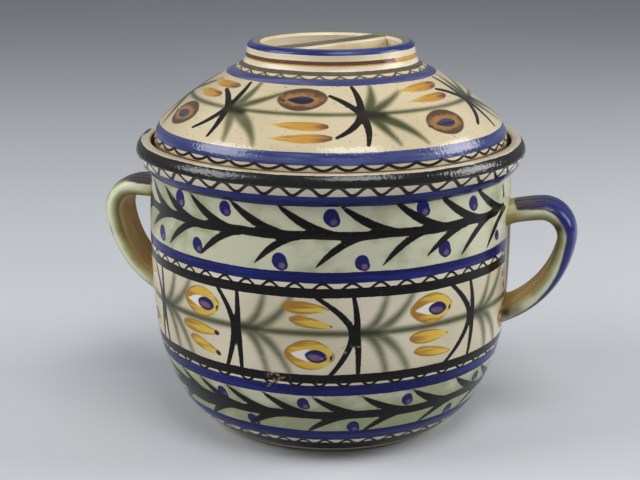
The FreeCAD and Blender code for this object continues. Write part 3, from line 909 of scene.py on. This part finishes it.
def pullStrap(side, line, flares):
    # the section is set out at the upper joint and pulled along the line
    drop = side["drop"]
    section = drawOutline(handle["section"])[:-1]
    deselectAll()
    bpy.ops.mesh.primitive_circle_add(vertices=len(section), radius=mm, fill_type="NGON")
    piece = bpy.context.object
    piece.name = piece.data.name = side["name"]
    x, z, heading = line[0]
    lean = math.radians(heading)
    for vertex, (across, out) in zip(piece.data.vertices, section):
        vertex.co = ((x - out * math.sin(lean)) * mm, across * mm, (z - drop + out * math.cos(lean)) * mm)
    editMode()
    bpy.ops.transform.resize(value=(flares[0],) * 3, center_override=(x * mm, 0, (z - drop) * mm))
    for (x0, z0, h0), (x1, z1, h1), f0, f1 in zip(line, line[1:], flares, flares[1:]):
        step = ((x1 - x0) * mm, 0, (z1 - z0) * mm)
        bpy.ops.mesh.extrude_region_move(TRANSFORM_OT_translate={"value": step})
        middle = (x1 * mm, 0, (z1 - drop) * mm)
        bpy.ops.transform.rotate(value=math.radians(h1 - h0), orient_axis="Y", center_override=middle)
        bpy.ops.transform.resize(value=(f1 / f0,) * 3, center_override=middle)
    bpy.ops.mesh.select_all(action="SELECT")
    bpy.ops.mesh.normals_make_consistent(inside=False)
    objectMode()
    bpy.ops.object.modifier_add(type="SUBSURF")
    smooth = piece.modifiers[-1]
    smooth.levels = smooth.render_levels = 1
    bpy.ops.object.modifier_apply(modifier=smooth.name)
    return piece


def paintStrap(piece, side, along, across, out):
    smudge = np.zeros(len(out))
    for a, c, o, da, dc, do, strength in side["smudges"]:
        spread = ((along - a) / da) ** 2 + ((across - c) / dc) ** 2 + ((out - o) / do) ** 2
        smudge = np.maximum(smudge, strength * np.exp(-spread))
    painted = out - np.interp(along, *zip(*side["paintFrom"]))
    for name, values in (("outward", out), ("along", along), ("across", across), ("smudge", smudge),
                         ("painted", painted), ("bluish", along - side["blueFrom"])):
        store(piece, name, values)


def workJoints(piece, side, spots, along, out, lean):
    # clay is pressed in at both ends, and the upper run springs from the wall in an arch
    upper, lower = handle["joints"]
    nearJoint = np.clip(1 + np.maximum(upper - along, along - lower) / handle["jointReach"], 0, 1) ** 2
    push = handle["jointSwell"] * nearJoint * np.minimum(out, 0) / handle["section"][4][1]
    spots[:, 0] -= push * np.sin(lean)
    spots[:, 1] *= 1 + handle["jointSpread"] * nearJoint
    spots[:, 2] += push * np.cos(lean) - side["arch"] * np.clip(1 - along / handle["archReach"], 0, 1) ** 2
    piece.data.vertices.foreach_set("co", (spots * mm).astype(np.float32).ravel())
    piece.data.update()


def makeHandle(side):
    line, drop = handleLine(), side["drop"]
    lengths = np.cumsum([0.0] + [math.dist(a[:2], b[:2]) for a, b in zip(line, line[1:])])
    shares, spreads = zip(*handle["spread"])
    flares = np.polyval(np.polyfit(shares, spreads, 2), lengths / lengths[-1])
    piece = pullStrap(side, line, flares)
    # where each point lies along the strap, across it and out from its middle line
    spots, path = spotsOf(piece), np.array(line)
    away = np.hypot(spots[:, None, 0] - path[:, 0], spots[:, None, 2] + drop - path[:, 1])
    nearest = away.argmin(axis=1)
    lean = np.radians(path[nearest, 2])
    right, up = spots[:, 0] - path[nearest, 0], spots[:, 2] + drop - path[nearest, 1]
    along = (lengths[nearest] + right * np.cos(lean) + up * np.sin(lean)) / lengths[-1]
    across = spots[:, 1] / flares[nearest]
    out = (up * np.cos(lean) - right * np.sin(lean)) / flares[nearest]
    paintStrap(piece, side, along, across, out)
    workJoints(piece, side, spots, along, out, lean)
    editMode()
    turnRound(side["turn"])
    objectMode()
    smoothShading(handle["crease"])
    piece.data.materials.append(handleGlaze)
    standsFor(piece, side["node"], "pot")


def makeHandleGlaze():
    material = newCoat("handleGlaze")
    spot, height = surfaceSpots()
    patches = grain(spot, 38.0, 3.0)
    outward, along, across = [attribute(name) for name in ("outward", "along", "across")]
    painted, bluish = attribute("painted"), attribute("bluish")
    aside = absolute(across)
    lanes = put("CombineXYZ", {0: times(across, 0.45), 1: times(along, 3.0), 2: outward}).outputs[0]
    streaks = grain(lanes, 1.0, 2.0)
    mottle = timesPlus(grain(spot, 110.0, 2.0), 0.5, times(patches, 0.5))
    color = laid(*handle["green"], ramp(mottle, 0.4, 0.62))
    # a painted highlight lies along the edge's ridge; painted shade, partly glaze pooling, darkens it towards
    # the inner face, which is brushed ochre
    ridge = absolute(minus(outward, handle["ridge"]))
    color = laid(color, handle["ridgeHighlight"], ramp(ridge, 0.4, 3.2, 0.85, 0.0))
    innerPoolAndShade = laid(*handle["innerPoolAndShade"], ramp(along, 0.5, 0.72))
    color = laid(color, innerPoolAndShade, ramp(outward, -0.6, -4.6, 0.0, 0.85))
    ochre = laid(*handle["ochre"], ramp(streaks, 0.3, 0.7))
    inside = times(ramp(outward, -2.8, -5.0), ramp(aside, 14.0, 11.0))
    color = laid(color, ochre, inside)
    ends = absolute(minus(along, 0.5))
    stain = times(ramp(ends, 0.33, 0.45), ramp(mottle, 0.34, 0.56, 0.5, 1.0))
    stain = times(stain, ramp(outward, 4.6, 0.5, 0.2, 0.9))
    color = laid(color, handle["stain"], stain)
    color = laid(color, handle["smudge"], attribute("smudge"))
    # blue runs along the outside, darker between the strips, and browner where it starts
    groove = absolute(minus(aside, handle["groove"]))
    lines = most(ramp(groove, 0.5, 1.3, 1.0, 0.0), ramp(streaks, 0.5, 0.68))
    blue = laid(*handle["blue"], lines)
    joint = laid(*handle["joint"], lines)
    blue = laid(joint, blue, ramp(timesPlus(streaks, 0.2, bluish), 0.0, 0.2))
    fray = timesPlus(mottle, 2.4, -1.2)
    painted = plus(painted, fray)
    color = laid(color, blue, ramp(painted, -0.6, 0.6))
    outline = ramp(absolute(painted), 0.2, 1.0, 0.7, 0.0)
    outline = times(outline, ramp(outward, 5.2, 4.6))
    color = laid(color, handle["outline"], outline)
    roughness = timesPlus(inside, 0.35, patchyShine(patches, 0.14, 0.26))
    glazed(color, roughness, glazeSkin(spot, height, 0.5), 0.35, 0.3)
    return material


handleGlaze = makeHandleGlaze()
for side in handleSides:
    makeHandle(side)


# Lid: a thrown cone with a sunken well, painted with sprigs

lidShell = {
    "segments": 512, "crease": 32, "dents": (0.5, 60),
    "outline": [
        (0.0, 212.2),
        (24.0, 212.2, 0, 3), (52.5, 224.7, 3.26, 6), (56.0, 227.5, 0, 1), (104.2, 194.5, -2.4, 12),
        (104.2, 178.0, 0, 3), (112.0, 178.0, 0, 2), (113.2, 179.2, 0, 1), (113.2, 188.0, 0, 3),
        (112.1, 193.2, 0.1, 4), (107.6, 201.35, 0.72, 8), (57.2, 235.2, 2.1, 49), (45.5, 235.2, 0, 3),
        (24.0, 219.2, -4.44, 9), (0.0, 219.2, 0, 4),
    ],
    "bandSpan": (170.0, 240.0),
    "bands": [(191.2, "blue"), (198.3, "plain"), (229.8, "wash"), (232.9, "plain"), (234.5, "dark")],
    "waves": [
        {"count": 43, "middle": 191.4, "swing": -2.6, "half": 0.8, "steep": 0.3, "stray": 5.0,
         "cusped": True},
        {"count": 29, "middle": 234.4, "swing": -1.7, "half": 0.36, "steep": 0.3, "stray": 4.0,
         "cusped": True},
    ],
    "cream": (tint(212, 197, 163), tint(195, 179, 143)),
    "blue": (tint(54, 61, 112), tint(92, 100, 148)),
    "crownBlue": (tint(62, 66, 114), tint(100, 102, 142)),
    "line": tint(84, 76, 62),
    "ink": (tint(30, 25, 22), tint(48, 42, 36)),
    "green": tint(68, 74, 42),
    "dusk": tint(46, 40, 34),
    "yellow": tint(202, 166, 72),
    "ochre": (tint(196, 144, 64), tint(110, 74, 52)),
    "eyeOchre": tint(164, 120, 72),
    "eyeBrown": tint(82, 61, 50),
    "pupil": (tint(38, 38, 62), tint(74, 74, 94)),
    "tipBrown": tint(84, 52, 36),
    "speck": tint(122, 96, 68),
    "wear": tint(70, 56, 44),
    "skin": 2.0, "crown": 56.0,  # the painted skin's depth, and the radius at which it ends
    "seatTop": 187.5, "seatFrom": 103.9,  # the seat ring is bare clay below this height, from this radius
}

sprigs = {
    "middle": 39.0, "half": 1.5,  # the stem: how far up the slope from the lid's edge, and its half width
    "places": [-96, -44, 12, 70, 132, 197],
    # dark strokes and green leaves: end, bend, each in degrees and up the slope, then the half width
    "strokes": [((-12.0, 53.5), (-4.5, 48.5), 2.0), ((-1.8, 63.0), (1.2, 52.0), 2.1),
                ((-9.6, 20.5), (-2.6, 28.5), 2.1), ((0.6, 15.5), (2.0, 29.0), 2.3)],
    "leaves": [((7.0, 65.0), (6.4, 51.0), 3.0), ((22.5, 58.5), (11.0, 46.5), 2.6),
               ((9.6, 14.6), (6.6, 29.0), 3.0), ((19.2, 14.5), (15.2, 31.5), 3.5)],
    "drop": [0.02, 0.12, 0.3, 0.56, 0.78, 0.92, 1.0, 1.0, 0.94, 0.78, 0.35],
    "eyeUp": 51.5, "eyeDown": 27.2, "dropsUp": (57.2, 47.0), "dropsDown": (29.8, 20.2),
    "pits": [(-21.8, 41.7), (-22.9, 61.7), (43.2, 15.7), (50, 16.4), (-30, 12.5), (118, 34)],
    "pit": (0.55, 0.8, 30),  # half width, half height and tilt
}


def paintSprig(angle):
    middle = sprigs["middle"]
    for (turn, end), (bendTurn, bend), half in sprigs["strokes"]:
        tip = (angle + turn + dice.uniform(-1.5, 1.0), end + dice.uniform(-1.5, 1.5))
        widths = [1.2, half, half * 1.1]
        brush("inkGap", bowed(tip, (angle + bendTurn, bend), (angle - 0.4, middle), widths))
    for (turn, end), (bendTurn, bend), half in sprigs["leaves"]:
        tip = (angle + turn + dice.uniform(-1.5, 1.5), end + dice.uniform(-2, 1))
        widths = [1.0, half, half * 1.3]
        softStroke("greenTone", bowed(tip, (angle + bendTurn, bend), (angle + 2.0, middle), widths), 1.9, 1.0)
    softStroke("greenTone", [(angle + 0.5, middle - 1, 3.0), (angle + 7.0, middle - 1.5, 2.6)], 3.6, 1.0)
    softStroke("duskTone", [(angle + 0.8, middle - 0.4, 3.4), (angle + 8.0, middle - 1.5, 2.8)], 2.5, 1.0)


def paintLidEye(angle, height):
    blob("ochreGap", angle, height, 15.2, 10.0, dice.uniform(-3, 3), 0.1, shaded=True)
    blob("whiteGap", angle - 0.4, height - 0.3, 8.4, 3.8)
    teardrop("blueGap", angle - 0.8, height - 0.8, 8.8, 3.4, 0, eyeBand["almond"])
    blob("tipGap", angle - 8.2, height - 1.8, 2.0, 1.1, -25)


def paintLid():
    places = sprigs["places"]
    for stroke in ringLine(sprigs["middle"], sprigs["half"]):
        softStroke("greenTone", stroke, 1.3, 1.0)
    for angle in places:
        paintSprig(angle)
    for number, angle in enumerate(places):
        middle = angle + (places[(number + 1) % len(places)] - angle) % 360 / 2 + 3.4
        eyeAbove = number % 2 == 1
        paintLidEye(middle, sprigs["eyeUp" if eyeAbove else "eyeDown"])
        for height in sprigs["dropsDown" if eyeAbove else "dropsUp"]:
            place, long = middle + dice.uniform(-1.5, 2.0), 20.0 + dice.uniform(-1.5, 1.5)
            high, tilt = 3.5 + dice.uniform(-0.3, 0.4), dice.uniform(-1, 3)
            teardrop("ochreGap", place, height, long, high, tilt, sprigs["drop"], shaded=True)
    for angle, height in sprigs["pits"]:
        blob("wearGap", angle, height, *sprigs["pit"])


def makePaintedLid():
    material = newCoat("paintedLid")
    spot, height = surfaceSpots()
    angle = angleRound(spot)
    shaky, fray = shakyHeight(spot, height, 0.9, 0.4)
    dark, blue, crown = bandMasks(shaky, lidShell)
    patches = grain(spot, 17.0, 2.0)
    streaks = brushStreaks(spot)
    color = laid(*lidShell["cream"], ramp(patches, 0.38, 0.72))
    specks = ramp(grain(spot, 520.0, 1.0), 0.66, 0.74, 0.0, 0.5)
    color = laid(color, lidShell["speck"], specks)
    fleck = grain(spot, 230.0, 3.0, 0.65)
    strands = brushStreaks(spot, 45.0, 1100.0, 0.6)
    brushed = ramp(patches, 0.25, 0.65, 0.8, 1.0)
    color = laid(color, lidShell["green"], times(attribute("greenTone"), brushed))
    shade = attribute("shade")
    warmth = timesPlus(strands, 0.7, minus(shade, 0.35))
    ochre = laid(lidShell["yellow"], lidShell["ochre"][0], ramp(warmth, 0.1, 0.6))
    streaked = ramp(strands, 0.5, 0.66, 0.0, 0.5)
    ends = most(ramp(warmth, 0.62, 1.0), streaked)
    outOfEye = attribute("whiteGap")
    eyes = ramp(outOfEye, 6.4, 7.4, 1.0, 0.0)
    ochre = laid(ochre, lidShell["ochre"][1], ends)
    ochre = laid(ochre, lidShell["eyeOchre"], eyes)
    ring = timesPlus(fleck, 7.0, minus(outOfEye, 4.8))
    eyes = times(eyes, ramp(ring, -1.0, 1.8, 0.1, 0.92))
    ochre = laid(ochre, lidShell["eyeBrown"], eyes)
    color = laid(color, ochre, covered("ochreGap", fray, 0.5))
    pupil = laid(*lidShell["pupil"], ramp(streaks, 0.4, 0.65))
    color = laid(color, pupil, covered("blueGap", fray, 0.5))
    color = laid(color, lidShell["tipBrown"], covered("tipGap", fray, 0.4))
    blues = laid(*lidShell["blue"], ramp(streaks, 0.4, 0.75))
    color = laid(color, blues, blue)
    crowns = laid(*lidShell["crownBlue"], ramp(streaks, 0.4, 0.7))
    color = laid(color, crowns, crown)
    edgeWave, crownWave = [waveLine(spot, angle, shaky, line) for line in lidShell["waves"]]
    color = laid(color, lidShell["line"], most(dark, crownWave))
    inks = laid(*lidShell["ink"], ramp(patches, 0.4, 0.7))
    inkCover = most(covered("inkGap", fray), edgeWave)
    color = laid(color, inks, inkCover)
    color = laid(color, lidShell["dusk"], attribute("duskTone"))
    color = laid(color, lidShell["wear"], covered("wearGap", fray, 0.3))
    relief = timesPlus(inkCover, 0.06, glazeSkin(spot, height, 0.55))
    glazed(color, patchyShine(patches), relief, 0.35, 0.5)
    return material


def makeLidShell():
    piece = throwPiece("lidShell", lidShell, lambda co: math.hypot(co.x, co.y) > 0.06 and co.z > 0.195)
    cone = np.array(drawOutline(lidShell["outline"][8:12]))
    slope = np.concatenate([[0.0], np.cumsum(np.hypot(*np.diff(cone, axis=0).T))])

    def outside(radius, height):
        skin = np.interp(height, cone[:, 1], cone[:, 0]) - lidShell["skin"]
        return (radius > skin) & (radius > lidShell["crown"])

    unroll(piece, lambda z: np.interp(z, cone[:, 1], slope), outside)
    paintLid()
    storeLayers(piece)
    assignFinish(piece, [
        (innerGlaze, lambda r, z: r > 0),
        (makePaintedLid(), lambda r, z: outside(r, z) & (z > lidShell["seatTop"])),
        (bareClay, lambda r, z: (r > lidShell["seatFrom"]) & (z < lidShell["seatTop"])),
    ])
    standsFor(piece, "lid_shell", "lid")


makeLidShell()


# Collar: a thrown ring round the well, with a strap across its mouth to lift the lid by

lidCollar = {
    "segments": 320, "crease": 40, "dents": (0.4, 40),
    "outline": [
        (45.5, 235.2),
        (57.2, 235.2, 0, 4), (54.4, 241.2, -0.6, 7), (53.2, 246.6, 0, 5), (48.45, 248.96, 0.9, 8),
        (43.7, 246.6, 0.9, 8), (45.5, 235.2, 0, 8),
    ],
    "bandSpan": (235.0, 250.0),
    "bands": [(236.7, "plain"), (239.4, "wash"), (240.2, "dark"), (242.4, "plain"), (245.9, "blue")],
    "brownFrom": 155.25, "brownTo": -27.75,  # degrees; the ochre line under it shows where the brown stops
    "footLine": 236.6, "mouth": (44.7, 45.5),  # top of the line at the foot, and radii where the paint begins
    "crest": 49.8, "crestHalf": 0.8, "crestGray": tint(124, 120, 102),
    # the cream is set lighter than the lid's cream, as a painted highlight
    "cream": (tint(230, 217, 190), tint(212, 197, 166)),
    "blue": (tint(40, 48, 108), tint(68, 78, 132)),
    "line": tint(96, 86, 72),
    "brown": tint(104, 72, 50),
    "ochre": tint(196, 152, 84),
}


def makeCollarGlaze():
    material = newCoat("collarGlaze")
    spot, height = surfaceSpots()
    angle = angleRound(spot)
    shaky, fray = shakyHeight(spot, height, 0.7, 0.35)
    brown, blue, ochre = bandMasks(shaky, lidCollar)
    radius = put("VectorMath", {0: stretched(spot, (1 / mm, 1 / mm, 0.0))}, operation="LENGTH")
    radius = plus(radius.outputs["Value"], times(fray, 2.0))
    outer = ramp(radius, *lidCollar["mouth"])
    patches = grain(spot, 20.0, 2.0)
    streaks = brushStreaks(spot, 30.0)
    # the collar's cream carries a painted highlight
    color = laid(*lidCollar["cream"], ramp(patches, 0.38, 0.72))
    foot = ramp(minus(shaky, lidCollar["footLine"]), -0.15, 0.15, 1.0, 0.0)
    color = laid(color, lidCollar["line"], times(foot, outer))
    first, last = math.radians(lidCollar["brownTo"]), math.radians(lidCollar["brownFrom"])
    turned = most(ramp(angle, first - 0.02, first, 1.0, 0.0), ramp(angle, last, last + 0.02))
    under = times(most(ochre, minus(brown, turned)), outer)
    color = laid(color, lidCollar["ochre"], under)
    over = times(times(brown, turned), outer)
    color = laid(color, lidCollar["brown"], over)
    blues = laid(*lidCollar["blue"], ramp(streaks, 0.4, 0.75))
    middle, half = lidCollar["crest"], lidCollar["crestHalf"]
    crest = ramp(radius, middle - half, middle + half)
    blues = laid(lidCollar["crestGray"], blues, crest)
    color = laid(color, blues, times(blue, outer))
    glazed(color, patchyShine(patches), glazeSkin(spot, height), 0.3)
    return material


def makeLidCollar():
    piece = throwPiece("lidCollar", lidCollar, lambda co: 0.2365 < co.z < 0.2455)
    piece.data.materials.append(makeCollarGlaze())
    standsFor(piece, "lid_collar", "lid")


makeLidCollar()

gripStrap = {
    "reach": 46.5, "halfWidth": 8.0, "top": 248.3, "thick": 8.0, "root": 12.2, "wornDown": 0.4,
    "edge": 2.4, "edgeSteps": 5, "cuts": 31, "crease": 50, "turn": 60.25,
    "lane": (6.2, 7.2), "laneDepth": (3.2, 2.0),  # how far aside and how far down the gray on its top ends
    "cream": (tint(216, 200, 166), tint(194, 174, 134)),
    "gray": (tint(114, 106, 86), tint(74, 68, 52)),
}


def makeGripStrapGlaze():
    material = newCoat("gripStrapGlaze")
    spot, height = surfaceSpots()
    turn = (0, 0, math.radians(-gripStrap["turn"]))
    turned = put("Mapping", {"Vector": spot, "Rotation": turn}).outputs[0]
    aside = times(put("SeparateXYZ", {0: turned}).outputs[1], 1 / mm)
    patches = grain(spot, 40.0, 2.0)
    streaks = grain(stretched(turned, (30.0, 420.0, 100.0)), 1.0, 2.0)
    color = laid(*gripStrap["cream"], ramp(patches, 0.35, 0.7))
    gray = laid(*gripStrap["gray"], ramp(streaks, 0.4, 0.65))
    fray = timesPlus(patches, 2.0, -1.0)
    lane = ramp(plus(absolute(aside), fray), *gripStrap["lane"], 1.0, 0.0)
    top = ramp(height, *[gripStrap["top"] - depth for depth in gripStrap["laneDepth"]])
    color = laid(color, gray, times(lane, top))
    glazed(color, patchyShine(patches, 0.15, 0.28), glazeSkin(spot, height), 0.3)
    return material


def selectLengthwise(piece):
    # ends in edit mode, with only the edges selected that run along the strap
    editMode("DESELECT")
    bpy.ops.mesh.select_mode(type="EDGE")
    objectMode()
    for edge in piece.data.edges:
        a, b = [piece.data.vertices[index].co for index in edge.vertices]
        edge.select = abs(a.x - b.x) > gripStrap["reach"] * mm
    bpy.ops.object.mode_set(mode="EDIT")


def makeGripStrap():
    deselectAll()
    bpy.ops.mesh.primitive_cube_add(size=1, location=(0, 0, (gripStrap["top"] - gripStrap["root"] / 2) * mm))
    piece = bpy.context.object
    piece.name = piece.data.name = "gripStrap"
    piece.scale = (2 * gripStrap["reach"] * mm, 2 * gripStrap["halfWidth"] * mm, gripStrap["root"] * mm)
    bpy.ops.object.transform_apply(location=True, rotation=True, scale=True)
    selectLengthwise(piece)
    bpy.ops.mesh.bevel(offset=gripStrap["edge"] * mm, segments=gripStrap["edgeSteps"], affect="EDGES")
    selectLengthwise(piece)
    bpy.ops.mesh.subdivide(number_cuts=gripStrap["cuts"])
    objectMode()
    low, top = (gripStrap["top"] - gripStrap["root"]) * mm, gripStrap["top"] * mm
    for vertex in piece.data.vertices:  # arched underneath, and a little worn down in the middle of its top
        share = (top - vertex.co.z) / (top - low)
        middle = 1 - (vertex.co.x / (gripStrap["reach"] * mm)) ** 2
        vertex.co.z += share * middle * (gripStrap["root"] - gripStrap["thick"]) * mm
        vertex.co.z -= (1 - share) * gripStrap["wornDown"] * middle * mm
    editMode()
    turnRound(gripStrap["turn"])
    bpy.ops.mesh.normals_make_consistent(inside=False)
    objectMode()
    smoothShading(gripStrap["crease"])
    piece.data.materials.append(makeGripStrapGlaze())
    standsFor(piece, "lid_grip_strap", "lid")


makeGripStrap()


# Floor, light and camera

stage = {
    "floor": (tint(206, 208, 211), tint(199, 201, 205)), "size": 14.0, "roughness": 0.75,
    "world": tint(206, 212, 220), "glow": 0.3,
    "aim": 0.12,  # metres above the floor that the lamps point at
}
lamps = [  # name, degrees round from the photo's front, height angle, distance, size, watts
    ("keyLeft", -78, 34, 1.7, 1.0, 17.5),
    ("sideRight", 92, 26, 1.7, 0.9, 18.0),
    ("overhead", 22, 60, 1.7, 0.8, 12.5),
]
camera = {
    "spot": (0.2309, -0.8471, 0.358), "pitch": 15.34, "heading": 15.7,
    "sensor": 36.0, "focal": 1380 / 640,  # sensor width in millimetres, focal length in frame widths
    "farthest": 50.0,
}


def makeStage():
    deselectAll()
    bpy.ops.mesh.primitive_plane_add(size=stage["size"], location=(0, 0, 0))
    floor = bpy.context.object
    floor.name = "floor"
    material = newCoat("paleFloor")
    spot = objectSpot()
    shader = material.node_tree.nodes["Principled BSDF"]
    plug(shader.inputs["Base Color"], laid(*stage["floor"], grain(spot, 3.0)))
    shader.inputs["Roughness"].default_value = stage["roughness"]
    floor.data.materials.append(material)


def makeLamps():
    for name, around, up, distance, size, watts in lamps:
        turn, lift = math.radians(photoFront + around), math.radians(up)
        spot = (distance * math.cos(lift) * math.cos(turn), distance * math.cos(lift) * math.sin(turn),
                stage["aim"] + distance * math.sin(lift))
        deselectAll()
        facing = (math.pi / 2 - lift, 0, turn + math.pi / 2)
        bpy.ops.object.light_add(type="AREA", location=spot, rotation=facing)
        lamp = bpy.context.object
        lamp.name = name
        lamp.data.shape = "SQUARE"
        lamp.data.size = size
        lamp.data.energy = watts
    world = bpy.data.worlds.new("softRoom")
    bpy.context.scene.world = world
    world.use_nodes = True
    sky = world.node_tree.nodes["Background"]
    sky.inputs["Color"].default_value = stage["world"]
    sky.inputs["Strength"].default_value = stage["glow"]


def makeCamera():
    deselectAll()
    facing = (math.radians(90 - camera["pitch"]), 0, math.radians(camera["heading"]))
    bpy.ops.object.camera_add(location=camera["spot"], rotation=facing)
    eye = bpy.context.object
    eye.name = "photoCamera"
    eye.data.sensor_width = camera["sensor"]
    eye.data.lens = camera["focal"] * camera["sensor"]
    eye.data.clip_end = camera["farthest"]
    bpy.context.scene.camera = eye


makeStage()
makeLamps()
makeCamera()
bpy.context.scene.view_settings.view_transform = "Standard"
print("stage, lamps and camera set")
